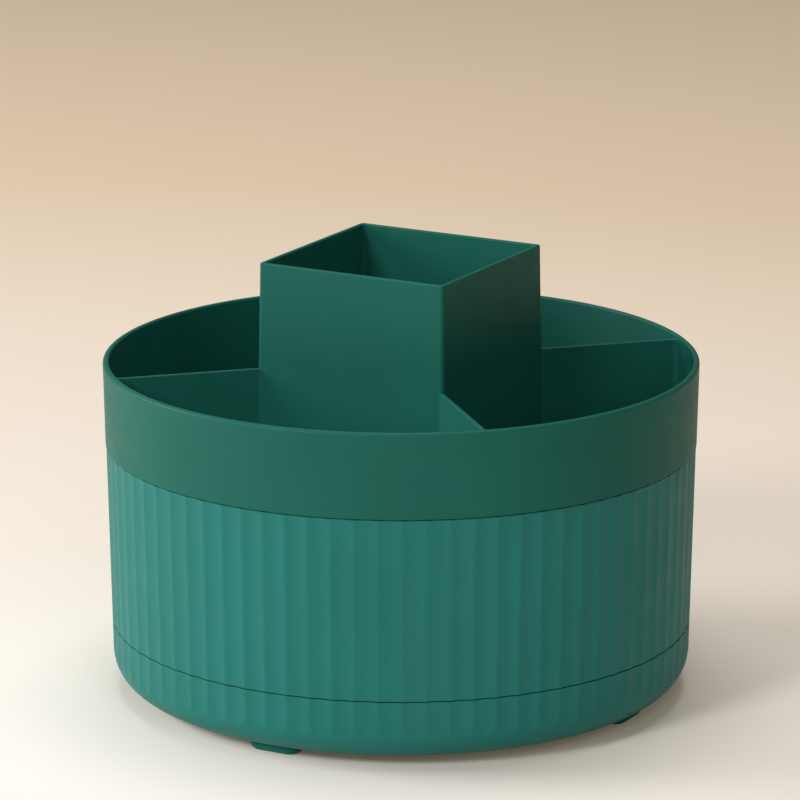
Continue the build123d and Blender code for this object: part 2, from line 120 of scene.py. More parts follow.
# Heights
BASE_Z, SEAM_Z = span("base_dish")
SHELL_Z, BAND_Z = span("fluted_shell")
TRAY_Z, TOWER_Z = span("tray")
FOOT_TOP_Z = span("foot_front")[1]
LOWER_RACE_Z = span("lower_race")[0]
PLATE_TOP_Z = span("hub_cap")[1]
HUB_TOP_Z = span("pivot_bush")[0] - HUB_GAP
SHOULDER_Z = span("spindle")[0] + SPINDLE_HEAD
LEDGE_TOP_Z = PLATE_TOP_Z + LEDGE_THICKNESS
BASE_FLOOR_Z = BASE_Z + FLOOR
NECK_Z = BAND_Z - NECK_HEIGHT
RIM_Z = BAND_Z + BAND_HEIGHT
DIVIDER_Z = RIM_Z - DIVIDER_DROP
TRAY_FLOOR_Z = TRAY_Z + FLOOR
TRAY_LEDGE_Z = BAND_Z + WALL

# Mesh fineness
TOWER_COLUMNS = 12
CORNER_COLUMNS = 6
FILLET_COLUMNS = 6
DIVIDER_COLUMNS = 10
WALL_COLUMNS = 72
ROUND_STEPS = 6
ARC_STEPS_PER_METRE = 1200
BOSS_COLUMNS = 40
FOOT_COLUMNS = 16
WELD = 0.000001
OVERRUN = 0.001
SHARP_ANGLE = math.radians(32.0)
FLOOR_SHARES = (0.0, 0.5)
ROOT2 = math.sqrt(2.0)

# Camera: distance from the turning axis, height over the rim, bearing from the front towards +X
CAMERA_DISTANCE = 1.7066
CAMERA_OVER_RIM = 0.4345
CAMERA_ASIDE = -0.0004
CAMERA_BEARING = math.radians(29.0)
CAMERA_PITCH = math.radians(14.79)
CAMERA_LENS_MM = 225.0
CAMERA_SENSOR_MM = 36.0

# Studio: a beige paper sweep with a painted pool of light, paler in a round patch by the object
SWEEP_COLOUR = (0.76, 0.61, 0.455)
SWEEP_GLOW = (0.08, 0.06, 0.04)
# Painted pool of light: the paler floor colour, the patch's middle and reach, and where its pale
# fill ends
PAINTED_LIGHT_POOL_COLOUR = (0.87, 0.84, 0.80)
PAINTED_LIGHT_POOL_CENTRE = (-0.25, -0.35, 0.0)
PAINTED_LIGHT_POOL_RADIUS = 1.2
PAINTED_LIGHT_POOL_FILL_SHARE = 0.75
SWEEP_WIDTH = 12.0
SWEEP_FRONT = -6.0
SWEEP_BACK = 5.0
SWEEP_HEIGHT = 3.0
SWEEP_RADIUS = 1.0
SWEEP_STEPS = 24
AIM = Vector((0.0, 0.0, 0.07))
WORLD_COLOUR = (1.0, 0.95, 0.87)
WORLD_STRENGTH = 0.11

# Lamps: bearing in degrees from the camera's side, lengths in metres
LAMPS = {
    "key": {"bearing": -42.0, "distance": 2.0, "height": 1.2, "size": 0.6, "watts": 21.0},
    "side": {"bearing": -98.0, "distance": 2.3, "height": 0.9, "size": 1.4, "watts": 43.0},
    "front": {"bearing": 10.0, "distance": 2.1, "height": 1.2, "size": 1.5, "watts": 10.5},
    "top": {"bearing": 180.0, "distance": 0.3, "height": 1.9, "size": 1.2, "watts": 16.0},
}

# Colours, linear
TRAY_GREEN = (0.009, 0.115, 0.087)
BODY_GREEN = (0.0135, 0.168, 0.144)
FOOT_GREEN = (0.011, 0.135, 0.115)
BEARING_WHITE = (0.72, 0.72, 0.69)
ZINC_GREY = (0.55, 0.56, 0.57)
BALL_GREY = (0.70, 0.71, 0.72)

# Noise: waves in a metre, and octaves of finer detail
FLOW_SCALE = 22.0
FLOW_DETAIL = 3.0
SHEEN_SCALE = 140.0
SHEEN_DETAIL = 4.0
DUST_DETAIL = 6.0
TARNISH_DETAIL = 5.0
MARKS_DETAIL = 3.0
MARKS_STRETCH = 12.0
PAPER_DETAIL = 2.0
GRAIN_SCALE = 2400.0
GRAIN_DETAIL = 2.0
GRAIN_DEPTH = 0.00003
SKIN_SCALE = 1200.0
SKIN_DETAIL = 4.0
NOISE_RANGE = (0.3, 0.7)

# Surfaces: gloss is the specular level, and a swing goes as far up as down
TRAY_GLOSS = 0.14
BODY_GLOSS = 0.18
SATIN_ROUGHNESS = 0.5
BEARING_GLOSS = 0.4
BEARING_ROUGHNESS = 0.4
PLASTIC_COLOUR_SWING = 0.05
PLASTIC_ROUGHNESS_SWING = 0.05
PLASTIC_GRAIN = 0.25
RUBBER_GLOSS = 0.2
RUBBER_ROUGHNESS = 0.75
RUBBER_COLOUR_SWING = 0.14
RUBBER_ROUGHNESS_SWING = 0.08
RUBBER_GRAIN = 0.6
ZINC_ROUGHNESS = 0.35
ZINC_COLOUR_SWING = 0.08
ZINC_GRAIN = 0.3
BALL_ROUGHNESS = 0.12
BALL_COLOUR_SWING = 0.03
BALL_GRAIN = 0.05
STEEL_ROUGHNESS_SWING_SHARE = 0.3
PAPER_GLOSS = 0.1
PAPER_ROUGHNESS = 0.9
PAPER_ROUGHNESS_SWING = 0.04


def band_radius(z):
    return RIM_RADIUS - (RIM_Z - z) * math.tan(WALL_DRAFT)


def band_bore(z):
    return band_radius(z) - WALL


def body_radius(z):
    return band_radius(z) - BAND_STEP


def body_bore(z):
    return body_radius(z) - WALL


def tray_radius(z):
    return body_bore(z) - TRAY_PLAY


def tray_bore(z):
    return tray_radius(z) - WALL


def tower_half(z):
    return TOWER_SIDE / 2 + (TOWER_Z - z) * math.tan(TOWER_DRAFT)


def tower_bore_half(z):
    return TOWER_SIDE / 2 - TOWER_WALL - (TOWER_Z - z) * math.tan(TOWER_BORE_DRAFT)


def divider_half(z):
    return DIVIDER / 2 + (DIVIDER_Z - z) * math.tan(DIVIDER_DRAFT)


def circle_arc(centre, start, end, steps):
    """Points on a circle from start the short way to end."""
    first = start - centre
    last = end - centre
    turn = first.angle(last)
    points = []
    for step in range(steps + 1):
        share = step / steps
        reach = first * math.sin((1 - share) * turn) + last * math.sin(share * turn)
        points.append(centre + reach / math.sin(turn))
    return points


def rounded(corners):
    """Outline through corners (x, y, radius), each rounded by its radius."""
    outline = []
    for index, (x, y, radius) in enumerate(corners):
        here = Vector((x, y))
        if radius == 0:
            outline.append(here)
            continue
        back = (Vector(corners[index - 1][:2]) - here).normalized()
        ahead = (Vector(corners[(index + 1) % len(corners)][:2]) - here).normalized()
        half = back.angle(ahead) / 2
        centre = here + (back + ahead).normalized() * (radius / math.sin(half))
        reach = radius / math.tan(half)
        steps = ROUND_STEPS + int(radius * ARC_STEPS_PER_METRE)
        outline += circle_arc(centre, here + back * reach, here + ahead * reach, steps)
    return outline


def quarter_round(radius):
    """(distance in, distance down) along a rounded edge, from its side to its top."""
    steps = ROUND_STEPS + int(radius * ARC_STEPS_PER_METRE)
    turns = [math.pi / 2 * step / steps for step in range(steps + 1)]
    return [(radius * (1 - math.cos(turn)), radius * (1 - math.sin(turn))) for turn in turns]


def turned(point, quarter):
    """A point turned by quarters of a turn round the upright axis."""
    x, y, z = point
    for _ in range(quarter):
        x, y = -y, x
    return (x, y, z)


def welded(patches):
    """Quads over grids of points, joined where the grids' edges lie on each other."""
    work = bmesh.new()
    for rows in patches:
        grid = [[work.verts.new(point) for point in row] for row in rows]
        for low, high in zip(grid, grid[1:]):
            for corners in zip(low, low[1:], high[1:], high):
                work.faces.new(corners)
    bmesh.ops.remove_doubles(work, verts=work.verts, dist=WELD)
    bmesh.ops.dissolve_degenerate(work, edges=work.edges, dist=WELD)
    bmesh.ops.recalc_face_normals(work, faces=work.faces)
    return work


def shaped(name, patches):
    work = welded(patches)
    mesh = bpy.data.meshes.new(name)
    work.to_mesh(mesh)
    work.free()
    shape = bpy.data.objects.new(name, mesh)
    bpy.context.scene.collection.objects.link(shape)
    return shape


def carve(shape, operation, tool):
    """Joins a tool to a shape or cuts it out, and drops the tool."""
    modifier = shape.modifiers.new("carve", "BOOLEAN")
    modifier.operation = operation
    modifier.solver = "MANIFOLD"
    modifier.object = tool
    evaluated = shape.evaluated_get(bpy.context.evaluated_depsgraph_get())
    carved = bpy.data.meshes.new_from_object(evaluated)
    whole = shape.data
    shape.modifiers.clear()
    shape.data = carved
    bpy.data.meshes.remove(whole)
    bpy.data.meshes.remove(tool.data)


def finish_piece(shape, node, body, material):
    """Shades a moulding, puts it in its CAD node's place and lets it ride on the node's body."""
    shape.data.shade_smooth()
    shape.data.set_sharp_from_angle(angle=SHARP_ANGLE)
    weighting = shape.modifiers.new("even_shading", "WEIGHTED_NORMAL")
    weighting.keep_sharp = True
    shape.data.materials.clear()
    shape.data.materials.append(material)
    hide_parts(node)
    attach(shape, body)


def ring(radius, z, columns, centre=(0.0, 0.0)):
    points = []
    for column in range(columns + 1):
        turn = 2 * math.pi * column / columns
        x = centre[0] + radius * math.cos(turn)
        y = centre[1] + radius * math.sin(turn)
        points.append((x, y, z))
    return points


def capped(rows):
    """Rows of a closed column with a flat end at each side."""
    ends = []
    for row in (rows[0], rows[-1]):
        middle = sum((Vector(point) for point in row[:-1]), Vector()) / (len(row) - 1)
        ends.append([tuple(middle)] * len(row))
    return [ends[0], *rows, ends[1]]


def boss_rows(centre, low, high):
    rows = [ring(BOSS_RADIUS, low, BOSS_COLUMNS, centre)]
    for inward, down in quarter_round(BOSS_EDGE):
        rows.append(ring(BOSS_RADIUS - inward, high - down, BOSS_COLUMNS, centre))
    return capped(rows)


def hole_rows(centre, low, high):
    return capped([ring(SCREW_HOLE, z, BOSS_COLUMNS, centre) for z in (low, high)])


def spread(circle, count, start=0.0):
    """Middles of things spaced evenly on a circle."""
    turns = [start + 2 * math.pi * index / count for index in range(count)]
    return [(circle * math.cos(turn), circle * math.sin(turn)) for turn in turns]


def flute_cut(radius, z, share):
    """How far a flute cuts into the outside. It runs out where the outside curves away under it."""
    slack = SEAM_EDGE if z > BASE_Z + BASE_ROUND else 0.0
    fade = max(0.0, body_radius(z) - radius - slack)
    cut = FLUTE_DEPTH * share - fade
    return (cut + math.hypot(cut, FLUTE_BLEND)) / 2


def fluted_lathe(name, section):
    """A closed section (radius, height) turned round the axis, its outside cut by scallops."""
    columns = FLUTE_COUNT * FLUTE_STEPS
    rows = []
    for radius, z in [*section, section[0]]:
        row = []
        for column in range(columns + 1):
            across = 2 * (column % FLUTE_STEPS) / FLUTE_STEPS - 1
            turn = 2 * math.pi * (column - FLUTE_STEPS / 2) / columns
            reach = radius - flute_cut(radius, z, 1 - across**2)
            row.append((reach * math.cos(turn), reach * math.sin(turn), z))
        rows.append(row)
    return shaped(name, [rows])


def shell_moulding(material):
    ledge_inner = body_bore(SHELL_Z) - LEDGE
    neck = body_radius(BAND_Z) - NECK_DEPTH
    shell = fluted_lathe("shell_moulding", rounded([
        (body_radius(SHELL_Z), SHELL_Z, SEAM_EDGE),
        (body_radius(NECK_Z), NECK_Z, SEAM_EDGE),
        (neck, NECK_Z, 0),
        (neck, BAND_Z, SEAM_EDGE),
        (body_bore(BAND_Z), BAND_Z, LEDGE_EDGE),
        (body_bore(LEDGE_TOP_Z), LEDGE_TOP_Z, LEDGE_EDGE),
        (ledge_inner, LEDGE_TOP_Z, LEDGE_EDGE),
        (ledge_inner, PLATE_TOP_Z, 0),
        (body_bore(SHELL_Z), PLATE_TOP_Z, 0),
        (body_bore(SHELL_Z), SHELL_Z, 0),
    ]))
    middles = spread(body_bore(SHELL_Z) - LEDGE / 2, SHELL_SCREWS)
    boss_top = LEDGE_TOP_Z + BOSS_HEIGHT
    buried = LEDGE_TOP_Z - LEDGE_THICKNESS / 2
    bosses = [boss_rows(middle, buried, boss_top) for middle in middles]
    holes = [hole_rows(middle, PLATE_TOP_Z - OVERRUN, boss_top - SCREW_COVER) for middle in middles]
    carve(shell, "UNION", shaped("shell_bosses", bosses))
    carve(shell, "DIFFERENCE", shaped("shell_holes", holes))
    finish_piece(shell, "fluted_shell", "carousel", material)


def foot_loop(inset, z):
    """Oblong outline of a foot, its length along Y, round the origin."""
    radius = FOOT_WIDTH / 2 - inset
    straight = (FOOT_LENGTH - FOOT_WIDTH) / 2
    points = []
    for end in (1, -1):
        for step in range(FOOT_COLUMNS + 1):
            turn = math.pi * step / FOOT_COLUMNS
            x = radius * math.cos(turn)
            y = straight + radius * math.sin(turn)
            points.append((end * x, end * y, z))
    return [*points, points[0]]


def neck_loop(radius, z):
    """Round outline with as many points as a foot's, each facing its own."""
    points = []
    for x, y, _ in foot_loop(0.0, z):
        scale = radius / math.hypot(x, y)
        points.append((x * scale, y * scale, z))
    return points


def placed(rows, quarter):
    """A foot's rows in their place under the base, so many quarter turns from +X."""
    low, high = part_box("foot_right")
    out = (low[0] + high[0]) / 2
    return [[turned((x + out, y, z), quarter) for x, y, z in row] for row in rows]


def foot_rows():
    seat = BASE_Z + FOOT_SEAT
    barb = BASE_FLOOR_Z + FIT
    rows = [foot_loop(inward, up) for inward, up in reversed(quarter_round(FOOT_ROUND))]
    rows += [foot_loop(inward, seat - down) for inward, down in quarter_round(FOOT_EDGE)]
    rows += [neck_loop(FOOT_NECK, seat), neck_loop(FOOT_NECK, barb)]
    rows += [neck_loop(FOOT_BARB, barb), neck_loop(FOOT_NECK, FOOT_TOP_Z)]
    return capped(rows)


def seat_rows():
    """Space that a foot and its neck take in the base, with the play round them."""
    seat = BASE_Z + FOOT_SEAT
    return capped([
        foot_loop(-FIT, BASE_Z - OVERRUN),
        foot_loop(-FIT, seat),
        neck_loop(FOOT_NECK + FIT, seat),
        neck_loop(FOOT_NECK + FIT, BASE_FLOOR_Z + OVERRUN),
    ])


def foot_pads(material):
    for side, quarter in FOOT_QUARTERS.items():
        foot = shaped(f"foot_pad_{side}", [placed(foot_rows(), quarter)])
        finish_piece(foot, f"foot_{side}", "base", material)


def base_moulding(material):
    outer_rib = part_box("lower_race")[1][0]
    inner_rib = outer_rib - RACE_WIDTH + RIB
    base = fluted_lathe("base_moulding", rounded([
        (SPINDLE_HEAD_HOLE, BASE_Z, 0),
        (body_radius(BASE_Z), BASE_Z, BASE_ROUND),
        (body_radius(SEAM_Z), SEAM_Z, SEAM_EDGE),
        (body_bore(SEAM_Z), SEAM_Z, 0),
        (body_bore(BASE_FLOOR_Z), BASE_FLOOR_Z, BASE_ROUND - WALL),
        (outer_rib, BASE_FLOOR_Z, 0),
        (outer_rib, LOWER_RACE_Z, 0),
        (outer_rib - RIB, LOWER_RACE_Z, 0),
        (outer_rib - RIB, BASE_FLOOR_Z, 0),
        (inner_rib, BASE_FLOOR_Z, 0),
        (inner_rib, LOWER_RACE_Z, 0),
        (inner_rib - RIB, LOWER_RACE_Z, 0),
        (inner_rib - RIB, BASE_FLOOR_Z, 0),
        (HUB_RADIUS, BASE_FLOOR_Z, 0),
        (HUB_RADIUS, HUB_TOP_Z, 0),
        (SPINDLE_HOLE, HUB_TOP_Z, 0),
        (SPINDLE_HOLE, SHOULDER_Z, 0),
        (SPINDLE_HEAD_HOLE, SHOULDER_Z, 0),
    ]))
    seats = [placed(seat_rows(), quarter) for quarter in FOOT_QUARTERS.values()]
    carve(base, "DIFFERENCE", shaped("foot_seats", seats))
    middles = spread(EAR_CIRCLE, BASE_SCREWS, math.pi / BASE_SCREWS)
    bosses = [boss_rows(middle, BASE_FLOOR_Z - FLOOR / 2, LOWER_RACE_Z) for middle in middles]
    holes = [hole_rows(middle, BASE_Z + SCREW_COVER, LOWER_RACE_Z + OVERRUN) for middle in middles]
    carve(base, "UNION", shaped("base_bosses", bosses))
    carve(base, "DIFFERENCE", shaped("base_holes", holes))
    finish_piece(base, "base_dish", "base", material)


def flank(z, bore, inset):
    """Side of a compartment along the divider at +45 degrees, from the tower to the wall.

    Each item is a point (x, y) and the way from it into the divider."""
    side = (tower_half(z) + inset) * ROOT2
    half = divider_half(z) + inset
    corner = POCKET_CORNER - inset
    wall = bore - inset
    inner = Vector((side + corner * (ROOT2 - 1) - half, half + corner))
    outer = Vector((math.sqrt((wall - corner) ** 2 - (half + corner) ** 2), half + corner))
    at_tower = inner - Vector((corner, corner)) / ROOT2
    at_wall = outer * (wall / (wall - corner))
    start = Vector((inner.x, half))
    end = Vector((outer.x, half))
    items = [(point, point - inner) for point in circle_arc(inner, at_tower, start, FILLET_COLUMNS)]
    for step in range(1, DIVIDER_COLUMNS):
        items.append((start.lerp(end, step / DIVIDER_COLUMNS), Vector((0.0, -1.0))))
    items += [(point, point - outer) for point in circle_arc(outer, end, at_wall, FILLET_COLUMNS)]
    return [(from_diagonal(point), from_diagonal(into.normalized())) for point, into in items]


def from_diagonal(along_across):
    """(x, y) of a point given along and across the diagonal between +X and +Y."""
    along, across = along_across
    return Vector((along + across, along - across)) / ROOT2


def wall_angle(z):
    """Bearing from +X where the compartment's wall turns into its corner, at the band's bore."""
    last = flank(z, band_bore(z), 0.0)[-1][0]
    return math.atan2(last.y, last.x)


def compartment_loop(z, bore, inset):
    """Closed outline (x, y) of the compartment on the +X side."""
    points = [point for point, _ in flank(z, bore, inset)]
    mirrored = [Vector((point.x, -point.y)) for point in points]
    angle = math.atan2(points[-1].y, points[-1].x)
    loop = [mirrored[0].lerp(points[0], step / TOWER_COLUMNS) for step in range(TOWER_COLUMNS + 1)]
    loop += points[1:]
    for step in range(1, WALL_COLUMNS):
        turn = angle * (1 - 2 * step / WALL_COLUMNS)
        loop.append(Vector((math.cos(turn), math.sin(turn))) * (bore - inset))
    return loop + mirrored[::-1]


def by_column(flank_shares, tower_share, wall_share):
    """A share for each point of a compartment's outline."""
    shares = [tower_share] * (TOWER_COLUMNS + 1)
    shares += flank_shares[1:]
    shares += [wall_share] * (WALL_COLUMNS - 1)
    return shares + flank_shares[::-1]


def edge_shares():
    """Share of the edge rounding at each point along a divider: none at the tower and the wall."""
    rising = [step / FILLET_COLUMNS for step in range(FILLET_COLUMNS + 1)]
    return rising + [1.0] * (DIVIDER_COLUMNS - 1) + rising[::-1]


def compartment_rows():
    """Inside of the compartment on the +X side, from its floor's middle up to the divider tops."""
    rows = []
    for inward, up in reversed(quarter_round(POCKET_ROUND)):
        z = TRAY_FLOOR_Z + up
        rows.append([(x, y, z) for x, y in compartment_loop(z, tray_bore(z), inward)])
    floor = rows[0][:-1]
    middle = sum((Vector(point) for point in floor), Vector()) / len(floor)
    inner_rows = []
    for share in FLOOR_SHARES:
        inner_rows.append([tuple(middle.lerp(Vector(point), share)) for point in rows[0]])
    rows = inner_rows + rows
    loop = compartment_loop(TRAY_LEDGE_Z, tray_bore(TRAY_LEDGE_Z), 0.0)
    rows.append([(x, y, TRAY_LEDGE_Z) for x, y in loop])
    falling = [1 - step / FILLET_COLUMNS for step in range(FILLET_COLUMNS + 1)]
    lifts = by_column([1.0] * (FILLET_COLUMNS + DIVIDER_COLUMNS) + falling, 1.0, 0.0)
    for inward, up in reversed(quarter_round(LEDGE_ROUND)):
        z = TRAY_LEDGE_Z + up
        loop = compartment_loop(z, band_bore(z) - inward, 0.0)
        lift = LEDGE_LIFT * (1 - up / LEDGE_ROUND)
        rows.append([(x, y, z + lift * share) for (x, y), share in zip(loop, lifts)])
    loop = compartment_loop(DIVIDER_Z, band_bore(DIVIDER_Z), 0.0)
    edges = by_column(edge_shares(), 0.0, 0.0)
    rows.append([(x, y, DIVIDER_Z - DIVIDER_ROUND * share) for (x, y), share in zip(loop, edges)])
    return rows


def tower_corner(half, corner):
    """Round corner (x, y) of a square between +X and +Y."""
    near = half - corner
    start = Vector((half, near))
    return circle_arc(Vector((near, near)), start, start.yx, CORNER_COLUMNS)


def tower_loop(half, corner, z):
    """Closed square outline whose side points end where the compartments' corners start."""
    reach = half - DIVIDER / ROOT2 - (ROOT2 - 1) * POCKET_CORNER
    quarter = []
    for step in range(TOWER_COLUMNS + 1):
        quarter.append((half, reach * (2 * step / TOWER_COLUMNS - 1), z))
    quarter += [(x, y, z) for x, y in tower_corner(half, corner)]
    points = [turned(point, side) for side in range(4) for point in quarter]
    return [*points, points[0]]


def tower_rows():
    """Tower from the divider tops up, over its rim and down its bore to the middle of the floor."""
    rows = [tower_loop(tower_half(DIVIDER_Z), TOWER_CORNER, DIVIDER_Z)]
    for inward, down in quarter_round(TOWER_ROUND):
        z = TOWER_Z - down
        rows.append(tower_loop(tower_half(z) - inward, TOWER_CORNER - inward, z))
    for outward, down in reversed(quarter_round(TOWER_ROUND)):
        z = TOWER_Z - down
        rows.append(tower_loop(tower_bore_half(z) + outward, TOWER_CORNER + outward, z))
    for inward, up in quarter_round(TOWER_FLOOR_ROUND):
        z = TRAY_FLOOR_Z + up
        rows.append(tower_loop(tower_bore_half(z) - inward, TOWER_CORNER - inward, z))
    for share in reversed(FLOOR_SHARES):
        rows.append([(x * share, y * share, z) for x, y, z in rows[-1]])
    return rows


def divider_rows():
    """Top of the divider at +45 degrees, from the tower to the wall, with rounded long edges."""
    columns = CORNER_COLUMNS + 2
    sides = flank(DIVIDER_Z, band_bore(DIVIDER_Z), 0.0)
    start = sides[0][0]
    end = sides[-1][0]
    at_tower = [start, *tower_corner(tower_half(DIVIDER_Z), TOWER_CORNER), start.yx]
    at_wall = circle_arc(Vector((0.0, 0.0)), end, end.yx, columns)
    rows = []
    for index, ((point, into), share) in enumerate(zip(sides, edge_shares())):
        near = []
        for inward, down in quarter_round(DIVIDER_ROUND):
            x, y = point + into * inward * share
            near.append((x, y, DIVIDER_Z - down * share))
        top = Vector(near[-1]).xy
        tower_pull = max(0.0, 1 - index / FILLET_COLUMNS)
        wall_pull = max(0.0, 1 - (len(sides) - 1 - index) / FILLET_COLUMNS)
        across = []
        for column in range(1, columns):
            part = column / columns
            place = top.lerp(top.yx, part)
            place += (at_tower[column] - start.lerp(start.yx, part)) * tower_pull
            place += (at_wall[column] - end.lerp(end.yx, part)) * wall_pull
            across.append((place.x, place.y, DIVIDER_Z))
        rows.append(near + across + [(y, x, z) for x, y, z in reversed(near)])
    return rows


def cup_rows():
    """Outside of the tray, from the divider tops over the rim to the middle of the underside."""
    profile = rounded([
        (band_bore(DIVIDER_Z), DIVIDER_Z, 0),
        (band_bore(RIM_Z), RIM_Z, RIM_INNER_ROUND),
        (RIM_RADIUS, RIM_Z, RIM_OUTER_ROUND),
        (band_radius(BAND_Z), BAND_Z, SEAM_EDGE),
        (tray_radius(BAND_Z), BAND_Z, 0),
        (tray_radius(TRAY_Z), TRAY_Z, TRAY_ROUND),
        (0, TRAY_Z, 0),
    ])
    angle = wall_angle(DIVIDER_Z)
    gap = math.pi / 2 - 2 * angle
    columns = CORNER_COLUMNS + 2
    turns = []
    for quarter in range(4):
        middle = math.pi / 2 * quarter
        for step in range(WALL_COLUMNS + 1):
            turns.append(middle + angle * (2 * step / WALL_COLUMNS - 1))
        turns += [middle + angle + gap * step / columns for step in range(1, columns)]
    turns.append(turns[0])
    rows = []
    for radius, z in profile:
        rows.append([(radius * math.cos(turn), radius * math.sin(turn), z) for turn in turns])
    return rows


def tray_moulding(material):
    patches = [tower_rows(), cup_rows()]
    for quarter in range(4):
        for rows in (compartment_rows(), divider_rows()):
            patches.append([[turned(point, quarter) for point in row] for row in rows])
    finish_piece(shaped("tray_moulding", patches), "tray", "lift_tray", material)


def new_material(name):
    material = bpy.data.materials.new(name)
    material.use_nodes = True
    tree = material.node_tree
    shader = tree.nodes["Principled BSDF"]
    return material, tree, shader


def noise(tree, scale, detail, stretch=(1.0, 1.0, 1.0)):
    """Noise in the piece's own place, with so many waves in a metre."""
    coordinates = tree.nodes.new("ShaderNodeTexCoord")
    mapping = tree.nodes.new("ShaderNodeMapping")
    texture = tree.nodes.new("ShaderNodeTexNoise")
    mapping.inputs["Scale"].default_value = stretch
    texture.inputs["Scale"].default_value = scale
    texture.inputs["Detail"].default_value = detail
    tree.links.new(coordinates.outputs["Object"], mapping.inputs["Vector"])
    tree.links.new(mapping.outputs["Vector"], texture.inputs["Vector"])
    return texture.outputs["Fac"]


def vary_colour(tree, shader, source, colour, swing):
    """Base colour a little darker and lighter than written."""
    ramp = tree.nodes.new("ShaderNodeValToRGB")
    low, high = ramp.color_ramp.elements
    low.position, high.position = NOISE_RANGE
    low.color = (*(channel * (1 - swing) for channel in colour), 1.0)
    high.color = (*(channel * (1 + swing) for channel in colour), 1.0)
    tree.links.new(source, ramp.inputs["Fac"])
    tree.links.new(ramp.outputs["Color"], shader.inputs["Base Color"])


def vary_roughness(tree, shader, source, roughness, swing):
    spread_out = tree.nodes.new("ShaderNodeMapRange")
    spread_out.inputs["From Min"].default_value = NOISE_RANGE[0]
    spread_out.inputs["From Max"].default_value = NOISE_RANGE[1]
    spread_out.inputs["To Min"].default_value = roughness - swing
    spread_out.inputs["To Max"].default_value = roughness + swing
    tree.links.new(source, spread_out.inputs["Value"])
    tree.links.new(spread_out.outputs["Result"], shader.inputs["Roughness"])


def add_grain(tree, shader, source, strength):
    bump = tree.nodes.new("ShaderNodeBump")
    bump.inputs["Strength"].default_value = strength
    bump.inputs["Distance"].default_value = GRAIN_DEPTH
    tree.links.new(source, bump.inputs["Height"])
    tree.links.new(bump.outputs["Normal"], shader.inputs["Normal"])


def moulded_plastic(name, colour, roughness, gloss):
    """Plastic from a finely blasted mould, with a faint flow pattern in its colour and sheen."""
    material, tree, shader = new_material(name)
    shader.inputs["Specular IOR Level"].default_value = gloss
    flow = noise(tree, FLOW_SCALE, FLOW_DETAIL)
    vary_colour(tree, shader, flow, colour, PLASTIC_COLOUR_SWING)
    sheen = noise(tree, SHEEN_SCALE, SHEEN_DETAIL)
    vary_roughness(tree, shader, sheen, roughness, PLASTIC_ROUGHNESS_SWING)
    add_grain(tree, shader, noise(tree, GRAIN_SCALE, GRAIN_DETAIL), PLASTIC_GRAIN)
    return material


def soft_rubber(name, colour):
    """Matt elastomer with a coarser skin and a little dust."""
    material, tree, shader = new_material(name)
    shader.inputs["Specular IOR Level"].default_value = RUBBER_GLOSS
    dust = noise(tree, SHEEN_SCALE, DUST_DETAIL)
    vary_colour(tree, shader, dust, colour, RUBBER_COLOUR_SWING)
    sheen = noise(tree, SHEEN_SCALE, SHEEN_DETAIL)
    vary_roughness(tree, shader, sheen, RUBBER_ROUGHNESS, RUBBER_ROUGHNESS_SWING)
    add_grain(tree, shader, noise(tree, SKIN_SCALE, SKIN_DETAIL), RUBBER_GRAIN)
    return material


def plated_steel(name, colour, roughness, swing, grain):
    """Metal with turning marks round the upright axis."""
    material, tree, shader = new_material(name)
    shader.inputs["Metallic"].default_value = 1.0
    vary_colour(tree, shader, noise(tree, SHEEN_SCALE, TARNISH_DETAIL), colour, swing)
    marks = noise(tree, SHEEN_SCALE, MARKS_DETAIL, (1.0, 1.0, MARKS_STRETCH))
    vary_roughness(tree, shader, marks, roughness, roughness * STEEL_ROUGHNESS_SWING_SHARE)
    add_grain(tree, shader, marks, grain)
    return material


def dress(material, *names):
    for name in names:
        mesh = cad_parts[name].data
        mesh.materials.clear()
        mesh.materials.append(material)


def seen_plainly(tree):
    """One for rays that show a surface, plainly or in a reflection, and zero for rays of light."""
    path = tree.nodes.new("ShaderNodeLightPath")
    seen = path.outputs["Is Camera Ray"]
    for kind in ("Is Glossy Ray", "Is Transmission Ray"):
        either = tree.nodes.new("ShaderNodeMath")
        either.operation = "MAXIMUM"
        tree.links.new(seen, either.inputs[0])
        tree.links.new(path.outputs[kind], either.inputs[1])
        seen = either.outputs[0]
    return seen


def painted_light_pool(tree, shader):
    """Floor colour with a painted pool of light: pale in a round patch by the object and warmer
    outside it.
    """
    coordinates = tree.nodes.new("ShaderNodeTexCoord")
    mapping = tree.nodes.new("ShaderNodeMapping")
    mapping.vector_type = "TEXTURE"
    mapping.inputs["Location"].default_value = PAINTED_LIGHT_POOL_CENTRE
    mapping.inputs["Scale"].default_value = (PAINTED_LIGHT_POOL_RADIUS, PAINTED_LIGHT_POOL_RADIUS, PAINTED_LIGHT_POOL_RADIUS)
    pool = tree.nodes.new("ShaderNodeTexGradient")
    pool.gradient_type = "SPHERICAL"
    ramp = tree.nodes.new("ShaderNodeValToRGB")
    outside, inside = ramp.color_ramp.elements
    inside.position = PAINTED_LIGHT_POOL_FILL_SHARE
    outside.color = (*SWEEP_COLOUR, 1.0)
    inside.color = (*PAINTED_LIGHT_POOL_COLOUR, 1.0)
    tree.links.new(coordinates.outputs["Object"], mapping.inputs["Vector"])
    tree.links.new(mapping.outputs["Vector"], pool.inputs["Vector"])
    tree.links.new(pool.outputs["Fac"], ramp.inputs["Fac"])
    tree.links.new(ramp.outputs["Color"], shader.inputs["Base Color"])


